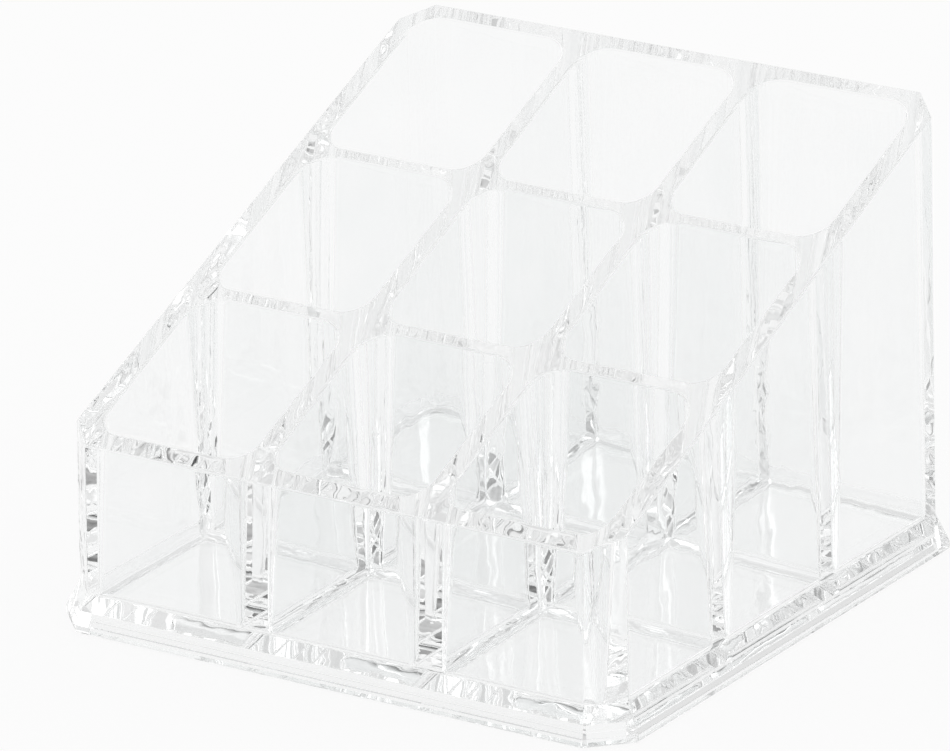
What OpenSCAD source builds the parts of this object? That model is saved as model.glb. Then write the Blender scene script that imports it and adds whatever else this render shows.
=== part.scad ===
// Clear organizer with nine wells under a sloped top, on a flared foot that a ring
// under the body carries on down to the table. The origin is on the table under the
// middle of the ring. The low front edge is at -Y, the high back at +Y, and +Z is up.

/* [Body] */
// Width of the body above its flared foot
body_w = 88; // [70:1:140]
// Depth of the body above its flared foot
body_d = 89; // [70:1:140]
// Height of the body's front edge above the table
front_h = 26.6; // [20:0.2:45]
// Height of the body's back edge above the table
back_h = 64.8; // [50:0.2:110]
// How far each upright corner is cut back along the sides it joins
corner_cut = 4.3; // [2:0.1:6]
// Inward lean of the outer faces, in degrees
outer_draft = 0.65; // [0:0.05:1.5]
// Height of the flared foot of the body, above the base ring
foot_h = 3; // [1:0.1:6]

/* [Wells] */
// Wells side by side
well_columns = 3; // [1:1:4]
// Wells from front to back
well_rows = 3; // [1:1:4]
// Thickness of the left and right walls, at the well floors
side_wall_t = 4.2; // [2.5:0.1:6]
// Thickness of the front and back walls, at the well floors
end_wall_t = 3.7; // [2.5:0.1:6]
// Thickness of the partitions that run from front to back, at the well floors
long_partition_t = 3.8; // [2.5:0.1:6]
// Thickness of the partitions that run across, at the well floors
cross_partition_t = 3; // [2.5:0.1:6]
// Thickness of the floor under a well
floor_t = 1.8; // [0.8:0.1:2.8]
// Radius of the sweep from a well's floor into its walls, and of the ball-shaped
// low ends of its corners
floor_sweep_r = 1.2; // [0.5:0.1:2]
// Radius that a well's upright corners have grown to at its rim
rim_corner_r = 4.2; // [2.6:0.1:5]
// Outward lean of the well walls, in degrees
well_draft = 0.6; // [0:0.05:0.8]

/* [Base ring] */
// Height of the ring, and so of the recess that it leaves under the body
ring_h = 2; // [1.8:0.1:8]
// How far the ring reaches in under the body, from the body's faces
ring_inset = 1; // [0.4:0.1:4]
// Height of the ring's upright lip
lip_h = 1.2; // [0.6:0.1:1.6]
// How far the foot and the ring flare out, from the body to the lip
flare = 1.9; // [0.5:0.1:5]
// Width of the flat step at the top of the flare
foot_step = 0.1; // [0.05:0.05:0.4]
// Bevel round the underside of the lip
lip_bevel = 0.3; // [0.1:0.05:0.5]

/* [Hidden] */
$fn = 64;
// Reach of cutters and profile prisms past the body that they cut
overrun = 20;
// Heights of the top of the flare and of the well floors
foot_z = ring_h + foot_h;
floor_z = ring_h + floor_t;
well_w = (body_w - 2*side_wall_t - (well_columns - 1)*long_partition_t)/well_columns;
well_d = (body_d - 2*end_wall_t - (well_rows - 1)*cross_partition_t)/well_rows;
pitch_x = well_w + long_partition_t;
pitch_y = well_d + cross_partition_t;
// How far the floor sweep reaches in from where floor and wall would meet
sweep_run = floor_sweep_r*tan((90 - well_draft)/2);
// The cutter of a well's corner goes this much deeper than a ball and cone that only
// touch the walls, so that it meets them in clean lines
corner_bite = 0.01;
corner_r = floor_sweep_r + corner_bite;

// How far an outer face has leaned in at height z
function lean_in(z) = (z - foot_z)*tan(outer_draft);
// How far the flare stands out at height z
function flare_out(z) = foot_step + (flare - foot_step)*(foot_z - z)/(foot_z - lip_h);
// Distance across two cut corners of a rectangle, from one cut face to the other
function across_corners(w, d, cut) = (w + d - 2*cut)/sqrt(2);
// Height of the sloped top above the floor of the well with its middle at this y
function well_depth(y) = front_h + (back_h - front_h)*(y/body_d + 1/2) - floor_z;
// How fast the corners of a well this deep widen with height
function corner_growth(depth) = (rim_corner_r - floor_sweep_r)/(depth - floor_sweep_r);
// How far the axis of such a corner leans away from each wall, over its height
function corner_lean(depth) =
    (rim_corner_r/cos(well_draft) - sweep_run - depth*tan(well_draft))/(depth - floor_sweep_r);

// Prism that has the child profile in its XZ plane and runs along Y
module run_along_y(length) {
    rotate([90, 0, 0])
        linear_extrude(length, center = true)
            children();
}

// Two opposite leaning faces, this far apart at the top of the foot
module leaning_faces(apart) {
    top = back_h + overrun;
    run_along_y(body_w + body_d)
        polygon([
            [lean_in(ring_h) - apart/2, ring_h], [apart/2 - lean_in(ring_h), ring_h],
            [apart/2 - lean_in(top), top], [lean_in(top) - apart/2, top]
        ]);
}

// Two opposite flared faces of the foot, round faces that are this far apart
module flared_faces(apart) {
    low = apart/2 + flare_out(ring_h);
    high = apart/2 + foot_step;
    run_along_y(body_w + body_d)
        polygon([[-low, ring_h], [low, ring_h], [high, foot_z], [-high, foot_z]]);
}

// Side profile of the body: leaning front and back, and the slope between them
module slope_profile() {
    foot = body_d/2 - lean_in(ring_h);
    rotate([0, 0, 90])
        run_along_y(body_w + overrun)
            polygon([
                [-foot, ring_h], [foot, ring_h],
                [body_d/2 - lean_in(back_h), back_h], [lean_in(front_h) - body_d/2, front_h]
            ]);
}

// The block before its wells are sunk: the body on its foot
module block() {
    across = across_corners(body_w, body_d, corner_cut);
    intersection() {
        slope_profile();
        leaning_faces(body_w);
        rotate([0, 0, 45]) leaning_faces(across);
        rotate([0, 0, -45]) leaning_faces(across);
    }
    intersection() {
        flared_faces(body_w);
        rotate([0, 0, 90]) flared_faces(body_d);
        rotate([0, 0, 45]) flared_faces(across);
        rotate([0, 0, -45]) flared_faces(across);
    }
}

// Half section of a well from its middle out to a wall this far away: flat
// floor, round sweep, and a wall that leans out
module well_half_section(reach) {
    top = back_h + overrun;
    polygon([
        [0, 0], [reach - sweep_run, 0],
        [reach + sweep_run*sin(well_draft), sweep_run*cos(well_draft)],
        [reach + top*tan(well_draft), top], [0, top]
    ]);
    intersection() {
        translate([reach - sweep_run, floor_sweep_r]) circle(floor_sweep_r);
        translate([reach - sweep_run, 0]) square([2*floor_sweep_r, floor_sweep_r]);
    }
}

// The flat walls of a well on two opposite sides, with the floor between them.
// They end where the corners begin, so they narrow as the corners widen
module well_trough(reach, ends, depth) {
    top = back_h + overrun;
    low = floor_sweep_r*(1 - sin(well_draft));
    high = low + top*(1 - corner_growth(depth)*sin(well_draft));
    narrow = ends - top*corner_lean(depth);
    intersection() {
        run_along_y(2*ends + overrun) {
            well_half_section(reach);
            mirror([1, 0]) well_half_section(reach);
        }
        rotate([0, 0, 90])
            run_along_y(2*reach + overrun)
                polygon([
                    [-ends, -overrun], [ends, -overrun], [ends, low],
                    [narrow, high], [-narrow, high], [-ends, low]
                ]);
    }
}

// One upright corner of a well: a cone that widens upwards along both walls, with
// a ball at its low end
module well_corner(depth) {
    axis_lean = corner_lean(depth);
    opening = asin(corner_growth(depth)/sqrt(1 + 2*pow(axis_lean, 2)));
    length = back_h + overrun;
    rotate([0, -atan(sqrt(2)*axis_lean), 0]) {
        sphere(corner_r);
        translate([0, 0, -corner_r*sin(opening)])
            cylinder(
                h = length*cos(opening),
                r1 = corner_r*cos(opening),
                r2 = corner_r*cos(opening) + length*sin(opening)
            );
    }
}

// One well, standing on its floor: two crossing troughs and four corners
module well(depth) {
    corner_x = well_w/2 - sweep_run;
    corner_y = well_d/2 - sweep_run;
    well_trough(well_w/2, corner_y, depth);
    rotate([0, 0, 90]) well_trough(well_d/2, corner_x, depth);
    for (turn = [45:90:315])
        translate([sign(cos(turn))*corner_x, sign(sin(turn))*corner_y, floor_sweep_r])
            rotate([0, 0, turn])
                well_corner(depth);
}

// The moulded block with its wells
module compartment_body() {
    color("#eef2f3", 0.5)
        difference() {
            block();
            for (column = [0:well_columns - 1], row = [0:well_rows - 1]) {
                y = (row - (well_rows - 1)/2)*pitch_y;
                translate([(column - (well_columns - 1)/2)*pitch_x, y, floor_z])
                    well(well_depth(y));
            }
        }
}

// Edge section of the ring, both sides at once: bevel, lip and flare
module ring_faces(apart) {
    half = apart/2 + flare;
    top = apart/2 + flare_out(ring_h);
    run_along_y(2*(body_w + body_d))
        polygon([
            [lip_bevel - half, 0], [half - lip_bevel, 0], [half, lip_bevel], [half, lip_h],
            [top, ring_h], [-top, ring_h], [-half, lip_h], [-half, lip_bevel]
        ]);
}

// The recess inside the ring, with cut corners that leave the same width all round
module recess() {
    x = body_w/2 - ring_inset;
    y = body_d/2 - ring_inset;
    cut = corner_cut - ring_inset*(2 - sqrt(2));
    translate([0, 0, -overrun])
        linear_extrude(2*overrun)
            polygon([
                [x, y - cut], [x - cut, y], [cut - x, y], [-x, y - cut],
                [-x, cut - y], [cut - x, -y], [x - cut, -y], [x, cut - y]
            ]);
}

// The ring under the body's edge, with the same cut corners
module base_ring() {
    across = across_corners(body_w, body_d, corner_cut);
    color("#e6ecee", 0.5)
        difference() {
            intersection() {
                ring_faces(body_w);
                rotate([0, 0, 90]) ring_faces(body_d);
                rotate([0, 0, 45]) ring_faces(across);
                rotate([0, 0, -45]) ring_faces(across);
            }
            recess();
        }
}

compartment_body();
base_ring();
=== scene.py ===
import math

import bpy
from mathutils import Matrix, Vector
from mathutils.geometry import delaunay_2d_cdt


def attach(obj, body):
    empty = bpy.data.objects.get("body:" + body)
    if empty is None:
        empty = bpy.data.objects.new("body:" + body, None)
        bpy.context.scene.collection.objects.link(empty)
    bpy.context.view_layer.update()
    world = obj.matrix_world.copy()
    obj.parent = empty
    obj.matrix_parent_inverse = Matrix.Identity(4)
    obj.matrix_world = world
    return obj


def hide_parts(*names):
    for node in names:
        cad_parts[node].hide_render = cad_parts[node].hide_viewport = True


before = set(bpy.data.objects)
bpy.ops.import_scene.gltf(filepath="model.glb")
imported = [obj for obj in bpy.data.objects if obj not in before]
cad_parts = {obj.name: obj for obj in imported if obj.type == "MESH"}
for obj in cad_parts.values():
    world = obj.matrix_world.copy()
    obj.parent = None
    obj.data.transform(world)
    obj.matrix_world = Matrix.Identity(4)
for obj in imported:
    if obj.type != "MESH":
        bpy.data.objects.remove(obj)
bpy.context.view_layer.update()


# The camera: a long lens some 1.2 m away, to the front right of the organizer and
# above it, as the photograph was taken. Its aim is in millimetres from the origin,
# which is on the table under the middle of the ring.
up = Vector((0, 0, 1))
yaw, pitch, roll = math.radians(33.06), math.radians(20.0), math.radians(-0.93)
distance, aim_right, aim_upright, aim_up = 1229.9, -5.0, 28.0, 0.23
back = Vector((math.sin(yaw)*math.cos(pitch), -math.cos(yaw)*math.cos(pitch), math.sin(pitch)))
sideways = Vector((math.cos(yaw), math.sin(yaw), 0))
steep = back.cross(sideways)
right = sideways*math.cos(roll) + steep*math.sin(roll)
upright = steep*math.cos(roll) - sideways*math.sin(roll)
place = (up*aim_up + right*aim_right + upright*aim_upright + back*distance)/1000
camera = bpy.data.objects.new("camera", bpy.data.cameras.new("camera"))
bpy.context.scene.collection.objects.link(camera)
camera.matrix_world = Matrix((
    (right.x, upright.x, back.x, place.x),
    (right.y, upright.y, back.y, place.y),
    (right.z, upright.z, back.z, place.z),
    (0, 0, 0, 1)))
camera.data.sensor_width = 36
camera.data.lens = 339.2
camera.data.clip_start = 0.05
camera.data.clip_end = 20
bpy.context.scene.camera = camera


# The body: one injection moulding of clear acrylic, nine open wells under a
# top that slopes up to the back, on a foot that flares out. The mould leaves the
# walls leaning a little, ball-ended corners in the wells that widen upwards, a
# sweep round each floor and a small round on every rim. Sizes are in millimetres.
body_w, body_d = 88.0, 89.0
front_h, back_h = 26.6, 64.8
corner_cut, outer_draft = 4.3, math.radians(0.65)
side_wall_t, end_wall_t = 4.2, 3.7
long_partition_t, cross_partition_t = 3.8, 3.0
ring_h, foot_h, floor_t = 2.0, 3.0, 1.8
ring_inset = 1.0
lip_h, flare, foot_step = 1.2, 1.9, 0.1
floor_sweep_r, rim_corner_r = 1.2, 4.2
well_draft = math.radians(0.6)
# Radii of the small rounds. The one along the outer top edge goes by its reach into
# the faces, which is under the upright edges' radius, so it can't cross itself at them.
rim_round, upright_round, foot_round, seam_round = 0.4, 0.35, 0.5, 0.08
top_edge_reach = 0.3
# Faces across a well's upright corner, across its floor sweep, and across the rounds
corner_steps, sweep_steps = 16, 8
rim_steps, upright_steps, foot_steps, seam_steps = 3, 3, 2, 2

foot_z, floor_z = ring_h + foot_h, ring_h + floor_t
well_w = (body_w - 2*side_wall_t - 2*long_partition_t)/3
well_d = (body_d - 2*end_wall_t - 2*cross_partition_t)/3
sweep_run = floor_sweep_r*math.tan((math.pi/2 - well_draft)/2)
front_y = -body_d/2 + (front_h - foot_z)*math.tan(outer_draft)
back_y = body_d/2 - (back_h - foot_z)*math.tan(outer_draft)
rise = (back_h - front_h)/(back_y - front_y)
slope_normal = Vector((0, -rise, 1)).normalized()
flare_slope = (flare - foot_step)/(foot_z - lip_h)
flared = Vector((1, 0, flare_slope)).normalized()
seam_out = foot_step + (foot_z - ring_h)*flare_slope


def meet_slope(start, along):
    """Where a wall line that starts here and runs along this direction meets the sloped top."""
    t = (front_h + (start.y - front_y)*rise - start.z)/(along.z - along.y*rise)
    return start + along*t


def round_over(edge, first, second, radius, steps):
    """Points and normals of a small round where two faces with these normals meet at this
    point. A radius below zero rounds a hollow corner."""
    middle = edge - (first + second)*(radius/(1 + first.dot(second)))
    normals = [first.slerp(second, k/steps) for k in range(steps + 1)]
    return [(middle + n*radius, n) for n in normals]


def octagon():
    """The cut corners of the body's plan, each rounded: its surface point at the top of the
    foot, the way that it moves when the sides lean or flare, and the way that it faces."""
    w, d = body_w/2, body_d/2
    cut = [(w, d - corner_cut), (w - corner_cut, d), (corner_cut - w, d), (-w, d - corner_cut)]
    cut += [(-x, -y) for x, y in cut]
    out = []
    for k, (x, y) in enumerate(cut):
        turn = math.radians(45*k + 22.5)
        bisector = Vector((math.cos(turn), math.sin(turn), 0))/math.cos(math.radians(22.5))
        for step in range(upright_steps + 1):
            a = math.radians(45*(k + step/upright_steps))
            facing = Vector((math.cos(a), math.sin(a), 0))
            out.append((Vector((x, y, 0)) + (facing - bisector)*upright_round, bisector, facing))
    return out


class Moulding:
    """Points with their own normals, in millimetres, and the faces between them. A ring
    is a closed line round the piece or round a well, and two rings make a band of faces."""

    def __init__(self):
        self.points, self.normals, self.faces, self.finishes = [], [], [], []

    def ring(self, pairs):
        """Takes points with their normals. Neighbours that fall together become one."""
        made = []
        for point, normal in pairs:
            if not made or (point - self.points[-1]).length > 1e-6:
                self.points.append(point)
                self.normals.append(normal)
            made.append(len(self.points) - 1)
        return made

    def face(self, corners, finish=0):
        self.faces.append(tuple(dict.fromkeys(corners)))
        self.finishes.append(finish)

    def band(self, below, above, finish=0):
        for k in range(len(below)):
            j = (k + 1) % len(below)
            self.face((below[k], below[j], above[j], above[k]), finish)

    def flat(self, outline, holes=(), facing=1):
        """Fills a flat outline, apart from its holes, to face up or, at -1, down. A triangle
        lies in a hole if that hole's edge has all its corners."""
        loops = [list(dict.fromkeys(loop)) for loop in (outline, *holes)]
        corners = [i for loop in loops for i in loop]
        owner = [k for k, loop in enumerate(loops) for i in loop]
        order = {i: n for n, i in enumerate(corners)}
        edges = [(order[i], order[j]) for loop in loops for i, j in zip(loop, loop[1:] + loop[:1])]
        filled = delaunay_2d_cdt([self.points[i].to_2d() for i in corners], edges, [], 0, 1e-6)
        triangles, sources = filled[2], filled[3]
        for triangle in triangles:
            a, b, c = (sources[n][0] for n in triangle)
            if owner[a] == 0 or len({owner[a], owner[b], owner[c]}) > 1:
                turn = (corners[a], corners[b], corners[c])
                self.face(turn if facing > 0 else turn[::-1])

    def piece(self, name):
        mesh = bpy.data.meshes.new(name)
        mesh.from_pydata([p/1000 for p in self.points], [], self.faces)
        mesh.polygons.foreach_set("use_smooth", [True]*len(mesh.polygons))
        mesh.polygons.foreach_set("material_index", self.finishes)
        mesh.normals_split_custom_set_from_vertices([tuple(n) for n in self.normals])
        made = bpy.data.objects.new(name, mesh)
        bpy.context.scene.collection.objects.link(made)
        return made


# A well's upright corner is the trace of a ball that climbs from the floor along an
# axis and grows on its way, so that every rim ends in corners of the same radius. Each
# line of points runs from the floor round the low ball, then straight up to the rim.
body = Moulding()
rims = []
for column in (-1, 0, 1):
    for row in (-1, 0, 1):
        centre = Vector((column*(well_w + long_partition_t), row*(well_d + cross_partition_t), floor_z))
        depth = front_h + (back_h - front_h)*(centre.y/body_d + 0.5) - floor_z
        climb = depth - floor_sweep_r
        widening = (rim_corner_r - floor_sweep_r)/climb
        shift = (rim_corner_r/math.cos(well_draft) - sweep_run - depth*math.tan(well_draft))/climb
        lines = []
        for corner, (sx, sy) in enumerate([(1, 1), (-1, 1), (-1, -1), (1, -1)]):
            ball = centre + Vector((sx*(well_w/2 - sweep_run), sy*(well_d/2 - sweep_run), floor_sweep_r))
            axis = Vector((-sx*shift, -sy*shift, 1)).normalized()
            growth = widening*axis.z
            for step in range(corner_steps + 1):
                a = math.radians(90*(corner + step/corner_steps))
                out = Vector((math.cos(a), math.sin(a), 0))
                inward = -out.dot(axis)
                lean = math.asin(growth/math.hypot(inward, axis.z)) - math.atan2(inward, axis.z)
                line = []
                for k in range(sweep_steps + 1):
                    b = math.pi/2 - (math.pi/2 - lean)*k/sweep_steps
                    normal = up*math.sin(b) - out*math.cos(b)
                    line.append((ball - normal*floor_sweep_r, normal))
                foot, wall = line[-1]
                edge = meet_slope(foot, (axis - wall*growth).normalized())
                lines.append(line + round_over(edge, wall, slope_normal, rim_round, rim_steps))
        rings = [body.ring(r) for r in zip(*lines)]
        body.flat(rings[0])
        for low, high in zip(rings, rings[1:]):
            body.band(high, low)
        rims.append(rings[-1])

outer = []
for foot, way, out in octagon():
    slant = out*flared.x + up*flared.z
    face = out*math.cos(outer_draft) + up*math.sin(outer_draft)
    lean = up*math.cos(outer_draft) - way*math.sin(outer_draft)
    seam = foot + way*seam_out + up*ring_h
    hollow = foot + up*foot_z + lean*(foot_step/flare_slope)
    top_edge = meet_slope(foot + up*foot_z, lean)
    bend = face.dot(slope_normal)
    top_round = top_edge_reach*math.sqrt((1 + bend)/(1 - bend))
    line = round_over(seam, -up, slant, seam_round, seam_steps)
    line += round_over(hollow, slant, face, -foot_round, foot_steps)
    outer.append(line + round_over(top_edge, face, slope_normal, top_round, rim_steps))
outer = [body.ring(r) for r in zip(*outer)]
for low, high in zip(outer, outer[1:]):
    body.band(low, high)
body.flat(outer[-1], rims)
joint = body.ring([(body.points[i], -up) for i in outer[0]])
ceiling = body.ring([(foot - way*ring_inset + up*ring_h, -up) for foot, way, out in octagon()])
body.band(ceiling, joint, finish=1)
body.flat(ceiling, facing=-1)
compartments = body.piece("compartments")


def srgb(text):
    """An sRGB hex colour as linear red, green and blue."""
    out = []
    for k in (1, 3, 5):
        c = int(text[k:k + 2], 16)/255
        out.append(c/12.92 if c <= 0.04045 else ((c + 0.055)/1.055)**2.4)
    return (*out, 1.0)


def add(tree, kind, links=(), **settings):
    """A node with its settings, and values or links into its sockets."""
    node = tree.nodes.new(kind)
    for name, value in settings.items():
        setattr(node, name, value)
    for socket, source in dict(links).items():
        if isinstance(source, bpy.types.NodeSocket):
            tree.links.new(source, node.inputs[socket])
        else:
            node.inputs[socket].default_value = source
    return node


def clear_acrylic(name):
    """Injection moulded acrylic, as glossy as the polished mould: clear with next to no colour,
    and a faint waviness that cooling leaves in its faces bends what is seen through them."""
    wave, wave_height = 9.0, 0.06
    material = bpy.data.materials.new(name)
    material.use_nodes = True
    tree = material.node_tree
    tree.nodes.clear()
    where = add(tree, "ShaderNodeTexCoord").outputs["Object"]
    flow = add(tree, "ShaderNodeTexNoise", {
        "Vector": where, "Scale": 1000/wave, "Detail": 2.0, "Roughness": 0.4}).outputs["Fac"]
    bump = add(tree, "ShaderNodeBump", {"Height": flow, "Strength": 1.0, "Distance": wave_height/1000})
    tint = add(tree, "ShaderNodeValToRGB", {"Fac": flow})
    tint.color_ramp.elements[0].color = srgb("#f9fafa")
    tint.color_ramp.elements[1].color = srgb("#fefefe")
    shader = add(tree, "ShaderNodeBsdfPrincipled", {
        "Base Color": tint.outputs["Color"], "Roughness": 0.0, "IOR": 1.50, "Transmission Weight": 1.0,
        "Normal": bump.outputs["Normal"]})
    add(tree, "ShaderNodeOutputMaterial", {"Surface": shader.outputs["BSDF"]})
    return material


def cement_film(name):
    """Solvent cement between the body and the ring. It has the plastic's own index, so the
    joint can't be seen, apart from its edge."""
    material = bpy.data.materials.new(name)
    material.use_nodes = True
    tree = material.node_tree
    tree.nodes.clear()
    shader = add(tree, "ShaderNodeBsdfTransparent")
    add(tree, "ShaderNodeOutputMaterial", {"Surface": shader.outputs["BSDF"]})
    return material


compartments.data.materials.append(clear_acrylic("clear acrylic"))
compartments.data.materials.append(cement_film("solvent cement"))
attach(compartments, "root")
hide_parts("compartment_body")


# The base ring: a frame of the same acrylic, cemented under the body's edge. It
# carries the foot's flare on down to an upright lip, has the same cut corners, and
# keeps the underside of the wells off the table.
lip_bevel, lip_round, lip_steps = 0.3, 0.15, 2
ring = Moulding()
levels, inside = [], []
for foot, way, out in octagon():
    slant = out*flared.x + up*flared.z
    bevel = (out - up).normalized()
    lip = foot + way*flare
    wall = foot - way*ring_inset
    line = [(lip - way*lip_bevel, bevel), (lip + up*lip_bevel, bevel), (lip + up*lip_bevel, out)]
    line += round_over(lip + up*lip_h, out, slant, lip_round, lip_steps)
    levels.append(line + round_over(foot + way*seam_out + up*ring_h, slant, up, seam_round, seam_steps))
    inside.append([(wall + up*ring_h, up), (wall + up*ring_h, -out), (wall, -out), (wall, -up)])
inside = [ring.ring(r) for r in zip(*inside)]
under = ring.ring([(line[0][0], -up) for line in levels])
over = ring.ring([(line[-1][0], up) for line in levels])
levels = [ring.ring(r) for r in zip(*levels)]
# Bevel and lip meet in a sharp edge, where each has a ring of its own.
ring.band(levels[0], levels[1])
for low, high in zip(levels[2:], levels[3:]):
    ring.band(low, high)
ring.band(over, inside[0], finish=1)
ring.band(inside[1], inside[2])
ring.band(inside[3], under)
frame_ring = ring.piece("ring")
frame_ring.data.materials.append(clear_acrylic("clear acrylic of the ring"))
frame_ring.data.materials.append(cement_film("solvent cement on the ring"))
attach(frame_ring, "root")
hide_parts("base_ring")


# The table: a plain white top under and round the organizer, lit from within a
# little, as a product photographer's light table is, so that it stays white. It lies
# a hair lower than the ring, so that the two flat faces don't fall together.
# Its side and the gap are in metres
table_size, table_gap = 6, 0.0002
glow_share, glow_strength = 0.94, 0.98
bpy.ops.mesh.primitive_plane_add(size=table_size, location=(0, 0, -table_gap))
table = bpy.context.object
table.name = "table"
white = bpy.data.materials.new("white light table")
white.use_nodes = True
tree = white.node_tree
tree.nodes.clear()
top = add(tree, "ShaderNodeBsdfDiffuse", {"Color": srgb("#fafafa")})
glow = add(tree, "ShaderNodeEmission", {"Color": (1, 1, 1, 1), "Strength": glow_strength})
both = add(tree, "ShaderNodeMixShader", {0: glow_share, 1: top.outputs[0], 2: glow.outputs[0]})
add(tree, "ShaderNodeOutputMaterial", {"Surface": both.outputs[0]})
table.data.materials.append(white)


# The light: a tent of white cloth over the table, brightest in a band low round its
# sides. A softbox over the camera's side, a lamp behind the cloth and a white card
# add to it, and the gap between table and tent and two open seams are dark.
studio = bpy.data.worlds.new("studio")
bpy.context.scene.world = studio
studio.use_nodes = True
tree = studio.node_tree
tree.nodes.clear()
where = add(tree, "ShaderNodeTexCoord").outputs["Generated"]
height = add(tree, "ShaderNodeSeparateXYZ", {"Vector": where}).outputs["Z"]
cloth = add(tree, "ShaderNodeValToRGB", {"Fac": height})
# How bright the cloth is at the table, straight up, and at heights between, in degrees
at_table, at_top = 0.15, 0.61
between = ((7, 0.44), (14, 1.0), (22, 1.04), (32, 0.80), (45, 0.73), (62, 0.76))
stops = cloth.color_ramp.elements
for elevation, level in between:
    stops.new(math.sin(math.radians(elevation))).color = (level, level, level, 1)
stops[0].color = (at_table, at_table, at_table, 1)
stops[-1].color = (at_top, at_top, at_top, 1)
# Each patch's direction and height, how far from its middle it begins to fade and how
# far out it ends, all in degrees, and the light that it adds
patches = (
    ("softbox", 315, 62, 10, 30, 0.65),
    ("lamp behind the cloth", 60, 40, 6, 16, 1.2),
    ("white card", 160, 15, 12, 30, 0.43),
    ("spot on the card", 157, 24, 6, 18, 0.7),
    ("dark gap behind", 60, 3, 12, 32, -0.29),
    ("open seam at the left", 195, 12, 8, 22, -0.74),
    ("open seam in front", 250, 22, 6, 20, -0.70))
total = cloth.outputs["Color"]
for name, azimuth, elevation, full, end, level in patches:
    turn, tip = math.radians(azimuth), math.radians(elevation)
    middle = (math.cos(turn)*math.cos(tip), math.sin(turn)*math.cos(tip), math.sin(tip))
    near = add(tree, "ShaderNodeVectorMath", {0: where, 1: middle}, operation="DOT_PRODUCT", label=name)
    rim, core = math.cos(math.radians(end)), math.cos(math.radians(full))
    patch = add(tree, "ShaderNodeMapRange", {0: near.outputs["Value"], 1: rim, 2: core, 3: 0, 4: level})
    total = add(tree, "ShaderNodeMath", {0: total, 1: patch.outputs[0]}, operation="ADD").outputs[0]
lit = add(tree, "ShaderNodeMath", {0: total, 1: 0.0}, operation="MAXIMUM")
light = add(tree, "ShaderNodeBackground", {"Color": (1, 1, 1, 1), "Strength": lit.outputs[0]})
add(tree, "ShaderNodeOutputWorld", {"Surface": light.outputs[0]})

# Light crosses dozens of clear faces on its way through the organizer.
bounces = 64
bpy.context.scene.view_settings.view_transform = "Standard"
bpy.context.scene.cycles.max_bounces = bounces
bpy.context.scene.cycles.transmission_bounces = bounces
bpy.context.scene.cycles.glossy_bounces = bounces
bpy.context.scene.cycles.transparent_max_bounces = bounces
